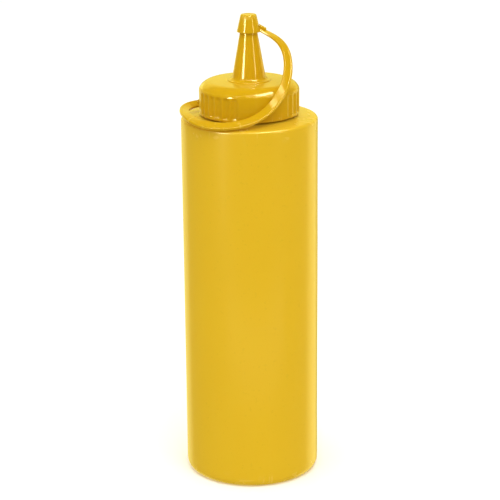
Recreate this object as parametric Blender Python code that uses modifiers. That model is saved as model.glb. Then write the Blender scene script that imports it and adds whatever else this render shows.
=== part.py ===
"""Squeeze bottle for condiments: blow-moulded bottle, scalloped screw cap with a cone
nozzle, sealing ring, and a tip cap held by a flat tether strap.

Metres, +Z up. The origin is on the bottle's axis in the plane that it stands on.
"""

import math

import bmesh
import bpy
import numpy as np
from mathutils import Vector

MM = 0.001

# Bottle: 24 oz (0.7 litre) class, 2.75 inch body.
BODY_R = 35.0 * MM
BODY_WALL = 1.0 * MM
SHOULDER_Z = 193.0 * MM
SHOULDER_DROP = 1.2 * MM
SHOULDER_EDGE_R = 1.5 * MM
HEEL_R = 4.0 * MM
FOOT_IN_R = 27.0 * MM
PUSH_UP = 2.0 * MM
PUSH_UP_R = 22.0 * MM

# Neck and thread: 48 mm finish, 6 turns to the inch, right-handed.
NECK_R = 22.5 * MM
NECK_BORE_R = 20.6 * MM
NECK_RIM_Z = 206.0 * MM
PITCH = 25.4 / 6 * MM
THREAD_TURNS = 1.5
THREAD_HEIGHT = 1.2 * MM
THREAD_BASE = 1.5 * MM
THREAD_CREST = 0.8 * MM
THREAD_START_Z = 197.3 * MM
THREAD_FADE = math.radians(40)
THREAD_ROOT = 0.4 * MM

# Screw cap.
CAP_R = 25.6 * MM
CAP_BORE_R = 24.1 * MM
CAP_BOTTOM_Z = 193.8 * MM
CAP_TOP_Z = 210.6 * MM
CAP_EDGE_R = 6.5 * MM
CAP_ROOF = 1.5 * MM
LAND_Z = 207.7 * MM
LAND_IN_R = 19.6 * MM
LAND_OUT_R = 22.9 * MM
GROUP_CENTRES = [math.radians(a) for a in (-132, -12, 108)]
GROUP_GROOVES = 6
GROOVE_PITCH = math.radians(10)
GROOVE_R = 2.6 * MM
GROOVE_DEPTH = 0.75 * MM
GROOVE_BOTTOM_Z = 195.1 * MM
GROOVE_TOP_Z = 206.9 * MM

# Nozzle, one piece with the cap.
FOOT_R = 10.4 * MM
FOOT_STEP = 0.5 * MM
NOZZLE_BASE_R = 8.55 * MM
NOZZLE_BASE_Z = 211.9 * MM
NOZZLE_TIP_Z = 242.5 * MM
NOZZLE_TIP_R = 3.1 * MM
NOZZLE_WALL = 1.15 * MM
ORIFICE_R = 1.7 * MM

# Tip cap.
TIP_BOTTOM_Z = 235.3 * MM
TIP_TOP_Z = 244.2 * MM
TIP_BOTTOM_R = 6.0 * MM
TIP_TOP_R = 3.95 * MM
TIP_EDGE_R = 0.9 * MM
TIP_ROOF = 1.2 * MM
PLUG_R = 1.3 * MM
PLUG_LENGTH = 2.2 * MM

# Sealing ring under the cap's roof.
SEAL_IN_R = 20.0 * MM
SEAL_OUT_R = 22.2 * MM

# Tether strap: a flat ribbon that leaves the cap's skirt, passes in front and rises to the tip cap.
STRAP_WIDTH = 4.7 * MM
STRAP_THICK = 1.4 * MM
STRAP_EDGE = 0.35 * MM
STRAP_RINGS = 56
# Each station: its centre in millimetres, then the direction from the ribbon's inner edge to its outer one.
STRAP_STATIONS = [
    ((-25.9, 8.7, 196.6), (-0.28, 0.88, 0.38)),
    ((-29.4, 6.4, 196.3), (-0.60, 0.68, 0.42)),
    ((-32.3, 1.2, 196.1), (-0.87, 0.35, 0.34)),
    ((-33.1, -6.2, 196.0), (-0.98, 0.00, 0.18)),
    ((-31.6, -14.6, 195.7), (-0.94, -0.34, -0.06)),
    ((-27.2, -23.6, 194.6), (-0.76, -0.60, -0.24)),
    ((-18.6, -30.4, 193.9), (-0.36, -0.78, -0.50)),
    ((-5.8, -32.1, 194.6), (0.15, -0.87, -0.48)),
    ((7.7, -27.8, 199.4), (0.56, -0.62, -0.55)),
    ((16.6, -22.6, 209.6), (0.88, -0.10, -0.46)),
    ((19.6, -14.2, 221.0), (0.86, 0.36, -0.36)),
    ((16.2, -5.6, 230.4), (0.68, 0.73, -0.05)),
    ((6.9, 0.0, 235.8), (0.10, 0.99, 0.00)),
]

GAP = 0.3 * MM
SEGMENTS = 72
FINE_SEGMENTS = 36


def clear_scene():
    for obj in list(bpy.data.objects):
        bpy.data.objects.remove(obj, do_unlink=True)


def new_collection(name):
    collection = bpy.data.collections.new(name)
    bpy.context.scene.collection.children.link(collection)
    return collection


def plastic(name, color, roughness):
    material = bpy.data.materials.new(name)
    material.use_nodes = True
    shader = material.node_tree.nodes["Principled BSDF"]
    shader.inputs["Base Color"].default_value = (*color, 1.0)
    shader.inputs["Roughness"].default_value = roughness
    shader.inputs["Metallic"].default_value = 0.0
    return material


def place(name, mesh, collection, material=None):
    obj = bpy.data.objects.new(name, mesh)
    collection.objects.link(obj)
    if material:
        mesh.materials.append(material)
    return obj


def as_cutter(obj):
    obj.hide_render = True
    obj.display_type = "WIRE"
    return obj


def arc(centre_r, centre_z, radius, start, end, steps):
    """Points on an arc of a turned profile, angles in degrees from +X towards +Z."""
    angles = np.radians(np.linspace(start, end, steps + 1))
    return [
        (centre_r + radius * math.cos(a), centre_z + radius * math.sin(a)) for a in angles
    ]


def turned(name, profile, collection, material=None, closed=False, steps=SEGMENTS):
    """A profile of (radius, height) points, down the outer side, turned about Z."""
    mesh = bpy.data.meshes.new(name)
    edges = [(i, i + 1) for i in range(len(profile) - 1)]
    if closed:
        edges.append((len(profile) - 1, 0))
    mesh.from_pydata([(r, 0.0, z) for r, z in profile], edges, [])
    obj = place(name, mesh, collection, material)
    screw = obj.modifiers.new("Turn", "SCREW")
    screw.axis = "Z"
    screw.steps = steps
    screw.render_steps = steps
    screw.use_merge_vertices = True
    screw.merge_threshold = 0.00001
    screw.use_smooth_shade = True
    return obj


def boolean(obj, operation, other):
    modifier = obj.modifiers.new(other.name, "BOOLEAN")
    modifier.operation = operation
    if isinstance(other, bpy.types.Collection):
        modifier.operand_type = "COLLECTION"
        modifier.collection = other
    else:
        modifier.object = other
    modifier.solver = "EXACT"


def lofted(name, rings, collection, material=None):
    """Closed rings of points joined in order, with a face over each end."""
    shape = bmesh.new()
    made = [[shape.verts.new(p) for p in ring] for ring in rings]
    for ring, following in zip(made, made[1:]):
        for i in range(len(ring)):
            j = (i + 1) % len(ring)
            shape.faces.new((ring[i], ring[j], following[j], following[i]))
    shape.faces.new(made[0][::-1])
    shape.faces.new(made[-1])
    bmesh.ops.recalc_face_normals(shape, faces=shape.faces)
    mesh = bpy.data.meshes.new(name)
    shape.to_mesh(mesh)
    shape.free()
    return place(name, mesh, collection, material)


def thread_ridge(name, wall_r, outward, start_z, collection):
    """A helical ridge that stands out of (+1) or into (-1) a wall, fading at both ends."""
    sweep = THREAD_TURNS * 2 * math.pi
    steps = int(THREAD_TURNS * 48)
    rings = []
    for i in range(steps + 1):
        angle = sweep * i / steps
        fade = min(1.0, angle / THREAD_FADE, (sweep - angle) / THREAD_FADE)
        rise = THREAD_HEIGHT * math.sin(fade * math.pi / 2) - 0.5 * THREAD_ROOT * (1 - fade)
        z = start_z + PITCH * angle / (2 * math.pi)
        root = wall_r - outward * THREAD_ROOT
        crest = wall_r + outward * rise
        section = [
            (root, z - THREAD_BASE / 2),
            (crest, z - THREAD_CREST / 2),
            (crest, z + THREAD_CREST / 2),
            (root, z + THREAD_BASE / 2),
        ]
        rings.append([(r * math.cos(angle), r * math.sin(angle), h) for r, h in section])
    return as_cutter(lofted(name, rings, collection))


def bottle_profile():
    """From the inside of the base up the inner wall, over the rim and down the outside."""
    edge_z = SHOULDER_Z - SHOULDER_DROP
    inner_r = BODY_R - BODY_WALL
    edge_r = SHOULDER_EDGE_R - BODY_WALL
    floor_z = PUSH_UP + BODY_WALL
    inside = [(0.0, floor_z), (PUSH_UP_R, floor_z), (FOOT_IN_R, BODY_WALL)]
    inside += arc(inner_r - HEEL_R + BODY_WALL, HEEL_R, HEEL_R - BODY_WALL, -90, 0, 4)
    inside += arc(inner_r - edge_r, edge_z - SHOULDER_EDGE_R, edge_r, 0, 78, 3)
    inside += [(NECK_BORE_R + 0.8 * MM, SHOULDER_Z - BODY_WALL)]
    inside += [(NECK_BORE_R, SHOULDER_Z - 0.2 * MM), (NECK_BORE_R, NECK_RIM_Z - 0.3 * MM)]
    rim = [(NECK_BORE_R + 0.3 * MM, NECK_RIM_Z), (NECK_R - 0.3 * MM, NECK_RIM_Z)]
    outside = [(NECK_R, NECK_RIM_Z - 0.3 * MM), (NECK_R, SHOULDER_Z + 0.8 * MM)]
    outside += [(NECK_R + 0.3 * MM, SHOULDER_Z + 0.2 * MM), (NECK_R + 1.0 * MM, SHOULDER_Z)]
    outside += arc(BODY_R - SHOULDER_EDGE_R, edge_z - SHOULDER_EDGE_R, SHOULDER_EDGE_R, 82, 0, 6)
    outside += arc(BODY_R - HEEL_R, HEEL_R, HEEL_R, 0, -90, 6)
    outside += [(FOOT_IN_R, 0.0), (PUSH_UP_R, PUSH_UP), (0.0, PUSH_UP)]
    return inside + rim + outside


def make_bottle(parts, cutters, material):
    bottle = turned("bottle", bottle_profile(), parts, material)
    ridge = thread_ridge("neck_thread", NECK_R, 1, THREAD_START_Z, cutters)
    boolean(bottle, "UNION", ridge)
    return bottle


def nozzle_r(z):
    """The nozzle's outer radius at a height, on its straight cone."""
    share = (z - NOZZLE_BASE_Z) / (NOZZLE_TIP_Z - NOZZLE_BASE_Z)
    return NOZZLE_BASE_R + share * (NOZZLE_TIP_R - NOZZLE_BASE_R)


def cap_profile():
    """Down the outside from the orifice to the skirt, then back up the inside."""
    step_z = CAP_TOP_Z + FOOT_STEP
    lip_z = NOZZLE_TIP_Z - 1.2 * MM
    outside = [(ORIFICE_R, NOZZLE_TIP_Z), (NOZZLE_TIP_R - 0.4 * MM, NOZZLE_TIP_Z)]
    outside += [(NOZZLE_TIP_R, NOZZLE_TIP_Z - 0.4 * MM), (NOZZLE_BASE_R, NOZZLE_BASE_Z)]
    outside += [(NOZZLE_BASE_R + 0.3 * MM, NOZZLE_BASE_Z - 0.5 * MM)]
    outside += [(FOOT_R - 0.9 * MM, step_z), (FOOT_R, step_z - 0.1 * MM), (FOOT_R + 0.2 * MM, CAP_TOP_Z)]
    outside += arc(CAP_R - CAP_EDGE_R, CAP_TOP_Z - CAP_EDGE_R, CAP_EDGE_R, 90, 0, 9)
    outside += [(CAP_R, CAP_BOTTOM_Z + 0.4 * MM), (CAP_R - 0.4 * MM, CAP_BOTTOM_Z)]
    inside = [(CAP_BORE_R + 0.3 * MM, CAP_BOTTOM_Z), (CAP_BORE_R, CAP_BOTTOM_Z + 0.3 * MM)]
    inside += [(CAP_BORE_R, LAND_Z - 3.6 * MM), (CAP_BORE_R - 0.35 * MM, LAND_Z - 1.4 * MM)]
    inside += [(LAND_OUT_R, LAND_Z), (LAND_IN_R, LAND_Z), (LAND_IN_R - 0.6 * MM, CAP_TOP_Z - CAP_ROOF)]
    inside += [(NOZZLE_BASE_R - NOZZLE_WALL + 0.5 * MM, CAP_TOP_Z - CAP_ROOF)]
    inside += [(nozzle_r(CAP_TOP_Z + 1.0 * MM) - NOZZLE_WALL, CAP_TOP_Z + 1.0 * MM)]
    inside += [(nozzle_r(lip_z) - NOZZLE_WALL, lip_z - 0.6 * MM), (ORIFICE_R, lip_z)]
    return outside + inside


def groove_cutters(collection):
    """One upright bullet for each finger groove, flat at its foot: three groups round the skirt."""
    centre_r = CAP_R - GROOVE_DEPTH + GROOVE_R
    bullet = arc(0.0, GROOVE_TOP_Z - GROOVE_R, GROOVE_R, 90, 0, 4)
    bullet += [(GROOVE_R, GROOVE_BOTTOM_Z), (0.0, GROOVE_BOTTOM_Z)]
    number = 0
    for centre in GROUP_CENTRES:
        for i in range(GROUP_GROOVES):
            angle = centre + (i - (GROUP_GROOVES - 1) / 2) * GROOVE_PITCH
            number += 1
            cutter = as_cutter(turned(f"groove_{number:02d}", bullet, collection, steps=16))
            cutter.location = (centre_r * math.cos(angle), centre_r * math.sin(angle), 0.0)
            cutter.rotation_euler = (0.0, 0.0, angle)


def gusset(name, root, out, along, reach, height, width, collection):
    """A wedge that stands on a wall at root, reaching out and sloping down to nothing."""
    out = Vector(out).normalized()
    along = Vector(along).normalized()
    up = Vector((0.0, 0.0, 1.0))
    root = Vector(root)
    corners = [Vector((0, 0)), Vector((reach, 0)), Vector((reach, 0.25 * height)), Vector((0, height))]
    rings = [
        [root + out * c.x + up * c.y + along * side * width / 2 for c in corners]
        for side in (-1, 1)
    ]
    return as_cutter(lofted(name, rings, collection))


def make_cap(parts, cutters, material):
    cap = turned("screw_cap", cap_profile(), parts, material, closed=True)
    grooves = bpy.data.collections.new("groove_cutters")
    cutters.children.link(grooves)
    groove_cutters(grooves)
    boolean(cap, "DIFFERENCE", grooves)
    ridge = thread_ridge("cap_thread", CAP_BORE_R, -1, THREAD_START_Z - PITCH / 2, cutters)
    boolean(cap, "UNION", ridge)
    start = Vector(STRAP_STATIONS[0][0]) * MM
    out = Vector((start.x, start.y, 0.0)).normalized()
    foot = out * (CAP_R - 0.6 * MM)
    foot.z = start.z + STRAP_THICK / 2 + GAP
    side = (-out.y, out.x, 0.0)
    boolean(cap, "UNION", gusset("cap_lug", foot, out, side, 3.2 * MM, 3.4 * MM, 2.4 * MM, cutters))
    return cap


def make_seal(parts, material):
    low = NECK_RIM_Z + GAP
    high = LAND_Z - GAP
    profile = [(SEAL_IN_R, high), (SEAL_OUT_R, high), (SEAL_OUT_R, low), (SEAL_IN_R, low)]
    return turned("sealing_ring", profile, parts, material, closed=True)


def tip_r(z):
    """The tip cap's outer radius at a height."""
    share = (z - TIP_BOTTOM_Z) / (TIP_TOP_Z - TIP_BOTTOM_Z)
    return TIP_BOTTOM_R + share * (TIP_TOP_R - TIP_BOTTOM_R)


def make_tip_cap(parts, cutters, material):
    roof_z = TIP_TOP_Z - TIP_ROOF
    socket_top = nozzle_r(roof_z) + GAP
    socket_mouth = nozzle_r(TIP_BOTTOM_Z) + GAP
    plug_z = roof_z - PLUG_LENGTH
    profile = [(0.0, TIP_TOP_Z)]
    profile += arc(TIP_TOP_R - TIP_EDGE_R, TIP_TOP_Z - TIP_EDGE_R, TIP_EDGE_R, 90, 10, 4)
    profile += [(TIP_BOTTOM_R, TIP_BOTTOM_Z + 0.3 * MM), (TIP_BOTTOM_R - 0.3 * MM, TIP_BOTTOM_Z)]
    profile += [(socket_mouth + 0.2 * MM, TIP_BOTTOM_Z), (socket_mouth, TIP_BOTTOM_Z + 0.4 * MM)]
    profile += [(socket_top, roof_z), (PLUG_R, roof_z), (PLUG_R - 0.2 * MM, plug_z), (0.0, plug_z)]
    tip = turned("tip_cap", profile, parts, material, steps=FINE_SEGMENTS)
    centre = Vector(STRAP_STATIONS[-1][0]) * MM
    foot = Vector((tip_r(centre.z) - 0.5 * MM, 0.0, centre.z + STRAP_THICK / 2 + GAP))
    lug = gusset("tip_lug", foot, (1, 0, 0), (0, 1, 0), 3.6 * MM, 2.6 * MM, 2.0 * MM, cutters)
    boolean(tip, "UNION", lug)
    return tip


def smooth_rows(rows, count):
    """A natural cubic spline through the rows, spaced by the chords between their first three values."""
    rows = np.array(rows, float)
    knots = np.concatenate([[0.0], np.cumsum(np.linalg.norm(np.diff(rows[:, :3], axis=0), axis=1))])
    steps = np.diff(knots)
    slopes = np.diff(rows, axis=0) / steps[:, None]
    last = len(rows) - 1
    system = np.eye(last + 1)
    right = np.zeros_like(rows)
    for i in range(1, last):
        system[i, i - 1 : i + 2] = steps[i - 1], 2 * (steps[i - 1] + steps[i]), steps[i]
        right[i] = 6 * (slopes[i] - slopes[i - 1])
    bends = np.linalg.solve(system, right)
    out = []
    for t in np.linspace(0.0, knots[-1], count):
        i = min(int(np.searchsorted(knots, t, side="right")) - 1, last - 1)
        h, a, b = steps[i], (knots[i + 1] - t), (t - knots[i])
        out.append(
            (bends[i] * a**3 + bends[i + 1] * b**3) / (6 * h)
            + (rows[i] / h - bends[i] * h / 6) * a
            + (rows[i + 1] / h - bends[i + 1] * h / 6) * b
        )
    return np.array(out)


def make_strap(parts, material):
    rows = [(*centre, *across) for centre, across in STRAP_STATIONS]
    route = smooth_rows(rows, STRAP_RINGS)
    centres = route[:, :3] * MM
    tangents = np.gradient(centres, axis=0)
    half_w, half_t, cut = STRAP_WIDTH / 2, STRAP_THICK / 2, STRAP_EDGE
    outline = [
        (half_w, half_t - cut), (half_w - cut, half_t), (cut - half_w, half_t), (-half_w, half_t - cut),
        (-half_w, cut - half_t), (cut - half_w, -half_t), (half_w - cut, -half_t), (half_w, cut - half_t),
    ]
    rings = []
    for centre, tangent, across in zip(centres, tangents, route[:, 3:]):
        along = Vector(tangent).normalized()
        across = Vector(across)
        across = (across - along * across.dot(along)).normalized()
        face = across.cross(along)
        rings.append([Vector(centre) + across * w + face * t for w, t in outline])
    return lofted("tether_strap", rings, parts, material)


def main():
    clear_scene()
    parts = new_collection("squeeze_bottle")
    cutters = new_collection("cutters")
    body = plastic("bottle_plastic", (0.80, 0.53, 0.02), 0.42)
    gloss = plastic("cap_plastic", (0.82, 0.50, 0.01), 0.2)
    foam = plastic("seal_foam", (0.85, 0.83, 0.76), 0.8)
    make_bottle(parts, cutters, body)
    make_cap(parts, cutters, gloss)
    make_seal(parts, foam)
    make_strap(parts, gloss)
    make_tip_cap(parts, cutters, gloss)


main()
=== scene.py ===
# %% [markdown]
# # A squeeze bottle with a tethered tip cap
# A 0.7 litre condiment bottle of soft yellow polyethylene. The bottle is blow-moulded. The screw
# cap, its cone nozzle, the flat strap and the little tip cap are injection-moulded in a harder and
# glossier grade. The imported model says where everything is; this script makes the surfaces that
# are seen, one piece and one finish at a time.

# %% Load the frame
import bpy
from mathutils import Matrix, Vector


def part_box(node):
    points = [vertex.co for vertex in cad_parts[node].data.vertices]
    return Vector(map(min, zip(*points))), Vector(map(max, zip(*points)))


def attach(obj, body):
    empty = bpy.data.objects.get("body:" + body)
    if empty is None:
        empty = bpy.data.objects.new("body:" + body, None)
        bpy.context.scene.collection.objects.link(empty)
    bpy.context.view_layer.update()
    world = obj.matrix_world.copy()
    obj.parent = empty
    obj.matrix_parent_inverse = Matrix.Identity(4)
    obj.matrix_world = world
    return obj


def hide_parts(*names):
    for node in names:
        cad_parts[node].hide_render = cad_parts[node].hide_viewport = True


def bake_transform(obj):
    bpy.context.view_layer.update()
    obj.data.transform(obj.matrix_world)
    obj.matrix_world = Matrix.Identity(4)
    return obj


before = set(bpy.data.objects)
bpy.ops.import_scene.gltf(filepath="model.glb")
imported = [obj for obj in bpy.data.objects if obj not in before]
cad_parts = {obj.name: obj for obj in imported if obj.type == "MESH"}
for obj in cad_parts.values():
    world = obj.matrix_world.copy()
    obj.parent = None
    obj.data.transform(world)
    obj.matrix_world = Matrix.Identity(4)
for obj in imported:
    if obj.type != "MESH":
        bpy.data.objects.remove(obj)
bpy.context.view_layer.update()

# %% Modules
import math

import bmesh
import bpy
import numpy as np
from mathutils import Matrix, Vector, noise

MM = 0.001

# %% [markdown]
# ## Sizes
# The frame says how wide and how tall each piece is, so those sizes are read and not typed. A
# bounding box can't give a wall thickness or a fillet, so these are named here.

# %% Sizes read from the frame
BODY_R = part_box("bottle")[1].x
NECK_RIM_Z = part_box("bottle")[1].z
CAP_BOTTOM_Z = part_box("screw_cap")[0].z
NOZZLE_TIP_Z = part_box("screw_cap")[1].z
TIP_BOTTOM_Z, TIP_TOP_Z = (corner.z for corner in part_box("tip_cap"))
TIP_BOTTOM_R = -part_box("tip_cap")[0].x
SEAL_BOTTOM_Z, SEAL_TOP_Z = (corner.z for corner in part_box("sealing_ring"))
SEAL_OUT_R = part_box("sealing_ring")[1].x
print(f"body {BODY_R * 2000:.1f} mm across, tip at {TIP_TOP_Z * 1000:.1f} mm")

# %% Sizes of the bottle
BODY_WALL = 1.0 * MM
SHOULDER_Z = 193.0 * MM
SHOULDER_FALL = 1.4 * MM
SHOULDER_EDGE_R = 1.5 * MM
HEEL_R = 4.0 * MM
FOOT_IN_R = 27.0 * MM
PUSH_UP = 2.0 * MM
PUSH_UP_R = 22.0 * MM
NECK_R = 22.5 * MM
NECK_BORE_R = 20.6 * MM
NECK_FOOT_FILLET = 0.8 * MM
RIM_FILLET = 0.4 * MM
SHOULDER_RISE = 0.15 * MM
PUSH_UP_FILLET = 2.0 * MM
FOOT_FILLET = 1.0 * MM

# %% Sizes of the cap and nozzle
CAP_R = 25.6 * MM
CAP_BORE_R = 24.1 * MM
CAP_TOP_Z = 210.6 * MM
CAP_EDGE_R = 7.0 * MM
CAP_EDGE_LOW_R = 2.5 * MM
CAP_EDGE_TURN = math.radians(60)
CAP_ROOF = 1.5 * MM
LAND_Z = 207.7 * MM
LAND_IN_R = 19.6 * MM
LAND_OUT_R = 22.9 * MM
FOOT_R = 11.0 * MM
FOOT_STEP = 0.5 * MM
NOZZLE_BASE_R = 8.55 * MM
NOZZLE_BASE_Z = 211.9 * MM
NOZZLE_TIP_R = 3.1 * MM
NOZZLE_WALL = 1.15 * MM
NOZZLE_FOOT_FILLET = 2.2 * MM
ORIFICE_R = 1.7 * MM
LIP_THICK = 1.2 * MM


def nozzle_r(z):
    """Outer radius of the straight cone at a height."""
    share = (z - NOZZLE_BASE_Z) / (NOZZLE_TIP_Z - NOZZLE_BASE_Z)
    return NOZZLE_BASE_R + share * (NOZZLE_TIP_R - NOZZLE_BASE_R)


# %% [markdown]
# ## The camera
# A long lens about a metre away and 0.4 m above the table, looking down at the bottle's middle. It is
# turned half a degree about its own axis, so the bottle leans a touch to the left.

# %% Camera
AIM_POINT = Vector((0.0, 0.0, 120.0 * MM))
CAMERA_DISTANCE = 950.0 * MM
CAMERA_ELEVATION = math.radians(17.45)
CAMERA_ROLL = math.radians(-0.53)
LENS_MM, SENSOR_MM = 130.64, 36.0
LENS_SHIFT_X, LENS_SHIFT_Y = -0.0012, -0.0008
NEAREST_SEEN, FARTHEST_SEEN = 0.05, 30.0


def placed(name, data):
    """A new object in the scene, made of this data."""
    obj = bpy.data.objects.new(name, data)
    bpy.context.scene.collection.objects.link(obj)
    return obj


camera_data = bpy.data.cameras.new("camera")
camera_data.sensor_width = SENSOR_MM
camera_data.lens = LENS_MM
camera_data.shift_x = LENS_SHIFT_X
camera_data.shift_y = LENS_SHIFT_Y
camera_data.clip_start = NEAREST_SEEN
camera_data.clip_end = FARTHEST_SEEN
camera = placed("camera", camera_data)
backwards = Vector((0.0, -math.cos(CAMERA_ELEVATION), math.sin(CAMERA_ELEVATION)))
camera.location = AIM_POINT + backwards * CAMERA_DISTANCE
aimed = backwards.to_track_quat("Z", "Y").to_matrix()
camera.rotation_euler = (aimed @ Matrix.Rotation(CAMERA_ROLL, 3, "Z")).to_euler()
bpy.context.scene.camera = camera
print("camera at", [round(c, 3) for c in camera.location])

# %% [markdown]
# ## Building node trees in a script
# Shader and geometry trees are built the same way: add a node, set it, link its inputs. These
# helpers keep each tree short enough to read from top to bottom.

# %% Node helpers
def add(tree, kind, feeds=None, **settings):
    """A node with its settings made, each input set to a value or linked to a socket."""
    node = tree.nodes.new(kind)
    for setting, value in settings.items():
        setattr(node, setting, value)
    for socket, value in (feeds or {}).items():
        if isinstance(value, bpy.types.NodeSocket):
            tree.links.new(value, node.inputs[socket])
        else:
            node.inputs[socket].default_value = value
    return node


def calc(tree, operation, *values):
    """One Math node; its result."""
    return add(tree, "ShaderNodeMath", dict(enumerate(values)), operation=operation).outputs[0]


def new_group(name, kind, inputs, outputs):
    """A node group with named sockets, its input node and its output node."""
    tree = bpy.data.node_groups.new(name, kind)
    for label, socket, value in inputs:
        made = tree.interface.new_socket(label, in_out="INPUT", socket_type=socket)
        if value is not None:
            made.default_value = value
    for label, socket in outputs:
        tree.interface.new_socket(label, in_out="OUTPUT", socket_type=socket)
    return tree, tree.nodes.new("NodeGroupInput").outputs, tree.nodes.new("NodeGroupOutput")


FLOAT, COLOR = "NodeSocketFloat", "NodeSocketColor"


# %% Texture helpers
def object_place(tree):
    """Where a point lies on its own object, in metres."""
    return add(tree, "ShaderNodeTexCoord").outputs["Object"]


def grain(tree, place, scale, detail):
    """A noise between 0 and 1."""
    return add(tree, "ShaderNodeTexNoise", {"Vector": place, "Scale": scale, "Detail": detail}).outputs["Fac"]


def stepped(tree, value, low, high):
    """0 below low, 1 above high, and a ramp between them."""
    return add(tree, "ShaderNodeMapRange", {"Value": value, "From Min": low, "From Max": high}).outputs[0]


def between(tree, share, first, second):
    """The colour that lies this share of the way from the first to the second."""
    mix = add(tree, "ShaderNodeMix", {"Factor": share, "A": first, "B": second}, data_type="RGBA")
    return mix.outputs["Result"]


def dress(tree, shader, color, roughness, height):
    """Links a surface's colour, its roughness and its height in metres to the shader."""
    tree.links.new(color, shader.inputs["Base Color"])
    tree.links.new(roughness, shader.inputs["Roughness"])
    bump = add(tree, "ShaderNodeBump", {"Height": height, "Distance": 1.0})
    tree.links.new(bump.outputs["Normal"], shader.inputs["Normal"])


# %% [markdown]
# ## What the two plastics share
# Both grades come from the same pigment and the same kind of steel mould, and both are rubbed by
# the same hands. Each of these effects is one node group: its sockets say how strong it is, and
# every material uses it with values of its own. Heights are in metres, so a grain of 0.02 mm is
# written as 0.02 mm.

# %% Pigment: slow clouds of colour, and a few darker specks
def make_pigment():
    tree, given, result = new_group(
        "pigment",
        "ShaderNodeTree",
        [("Color", COLOR, (0.8, 0.8, 0.8, 1)), ("Clouds", FLOAT, 0.03), ("Cloud scale", FLOAT, 25.0),
         ("Specks", FLOAT, 0.1), ("Speck scale", FLOAT, 450.0)],
        [("Color", COLOR)],
    )
    place = object_place(tree)
    cloud = grain(tree, place, given["Cloud scale"], 3.0)
    dots = stepped(tree, grain(tree, place, given["Speck scale"], 1.0), 0.66, 0.74)
    drift = calc(tree, "MULTIPLY", calc(tree, "SUBTRACT", cloud, 0.5), given["Clouds"])
    bright = calc(tree, "ADD", calc(tree, "MULTIPLY", drift, 2.0), 1.0)
    bright = calc(tree, "SUBTRACT", bright, calc(tree, "MULTIPLY", dots, given["Specks"]))
    scaled = add(tree, "ShaderNodeVectorMath", {0: given["Color"], "Scale": bright}, operation="SCALE")
    tree.links.new(scaled.outputs[0], result.inputs["Color"])
    return tree


# %% Mould skin: fine orange peel on a slow wave, as a height
def make_mould_skin():
    tree, given, result = new_group(
        "mould_skin",
        "ShaderNodeTree",
        [("Peel scale", FLOAT, 700.0), ("Peel height", FLOAT, 0.01 * MM),
         ("Wave scale", FLOAT, 60.0), ("Wave height", FLOAT, 0.02 * MM)],
        [("Height", FLOAT)],
    )
    place = object_place(tree)
    peel = grain(tree, place, given["Peel scale"], 2.0)
    wave = calc(tree, "MULTIPLY", grain(tree, place, given["Wave scale"], 1.0), given["Wave height"])
    height = calc(tree, "MULTIPLY_ADD", peel, given["Peel height"], wave)
    tree.links.new(height, result.inputs["Height"])
    return tree


# %% Rubbing: short scratches, most of them near two heights that touch things
SCRATCH_SETS = [  # how far a set is turned, in radians, and its stretch along x, y and z
    (0.5, (1.0, 1.0, 0.07)),
    (-0.7, (0.1, 1.0, 1.0)),
]


def make_rubbing():
    tree, given, result = new_group(
        "rubbing",
        "ShaderNodeTree",
        [("Low edge", FLOAT, 0.0), ("High edge", FLOAT, 0.2), ("Reach", FLOAT, 0.01),
         ("Everywhere", FLOAT, 0.1), ("Scratch scale", FLOAT, 260.0)],
        [("Mask", FLOAT)],
    )
    place = object_place(tree)
    height = add(tree, "ShaderNodeSeparateXYZ", {0: place}).outputs["Z"]
    nearness = []
    for edge in ("Low edge", "High edge"):
        away = calc(tree, "ABSOLUTE", calc(tree, "SUBTRACT", height, given[edge]))
        nearness.append(calc(tree, "SUBTRACT", 1.0, calc(tree, "DIVIDE", away, given["Reach"])))
    near = calc(tree, "MAXIMUM", calc(tree, "MAXIMUM", *nearness), given["Everywhere"])
    masks = []
    for turn, stretch in SCRATCH_SETS:
        laid = add(tree, "ShaderNodeMapping",
                   {"Vector": place, "Rotation": (turn, turn, 0), "Scale": stretch}).outputs[0]
        masks.append(stepped(tree, grain(tree, laid, given["Scratch scale"], 2.0), 0.6, 0.7))
    mask = calc(tree, "MULTIPLY", calc(tree, "MAXIMUM", *masks), near)
    tree.links.new(mask, result.inputs["Mask"])
    return tree


PIGMENT = make_pigment()
MOULD_SKIN = make_mould_skin()
RUBBING = make_rubbing()
print("shared groups:", [group.name for group in (PIGMENT, MOULD_SKIN, RUBBING)])


# %% Placing a shared group in a material
def grouped(tree, group, **values):
    """The output of a shared group, its sockets set; underscores in the names stand for spaces."""
    node = add(tree, "ShaderNodeGroup", node_tree=group)
    for name, value in values.items():
        node.inputs[name.replace("_", " ")].default_value = value
    return node.outputs[0]


def new_material(name, **constants):
    """A material, its tree and its Principled shader, whose constant sockets are set."""
    material = bpy.data.materials.new(name)
    material.use_nodes = True
    shader = material.node_tree.nodes["Principled BSDF"]
    for socket, value in constants.items():
        shader.inputs[socket.replace("_", " ")].default_value = value
    return material, material.node_tree, shader


# %% [markdown]
# ## The bottle's finish
# Blown low-density polyethylene is satin and a little translucent: light goes a short way into the
# wall before it comes back, which the constant subsurface values give. The light that leaves it at a
# grazing angle is yellow too, so a yellow sheen keeps its edges from looking pale. As the hot tube of
# plastic is pushed out of its ring-shaped die, the die leaves faint lines along it. They run straight
# up the wall, so a noise that is stretched in Z makes them.

# %% Material of the bottle
BOTTLE_YELLOW = (0.72, 0.435, 0.012, 1.0)
BOTTLE_ROUGHNESS = 0.21
DIE_LINE_STRETCH = 0.02
DIE_LINE_HEIGHT = 0.012 * MM
YELLOW_SHEEN = (1.0, 0.86, 0.2, 1.0)


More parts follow.
